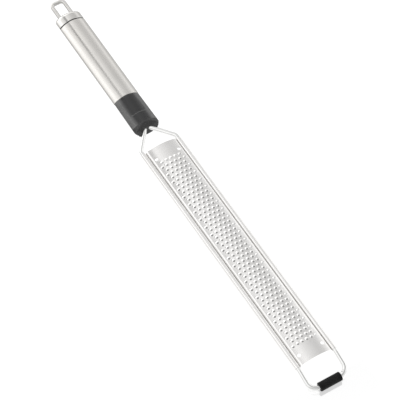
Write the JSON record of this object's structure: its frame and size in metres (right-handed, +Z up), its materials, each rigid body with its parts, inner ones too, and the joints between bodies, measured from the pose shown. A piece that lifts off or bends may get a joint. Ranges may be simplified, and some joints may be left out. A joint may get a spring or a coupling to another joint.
{
  "type": "fine grater",
  "caption": "Long hand-held fine grater: arched toothed sheet rolled on a bent wire frame, oval tube handle with hanging loop, black front piece and ribbed foot.",
  "frame": {"origin": "middle of the bounding box at its base, on the surface the grater lies on", "axes": "+X along the length from the hanging loop to the foot, +Z up, away from the surface, teeth on top"},
  "size_m": [0.4, 0.0348, 0.0126],
  "materials": {
    "handle_steel": "satin",
    "cap_steel": "satin",
    "ring_black": "matte",
    "collar_black": "satin",
    "wire_steel": "polished",
    "sheet_steel": "polished",
    "foot_black": "matte"
  },
  "bodies": {
    "root": {"handle_tube": "handle_steel", "end_cap": "cap_steel", "seal_ring": "ring_black", "front_collar": "collar_black", "frame_wire": "wire_steel", "grater_sheet": "sheet_steel", "foot": "foot_black"}
  },
  "joints": []
}
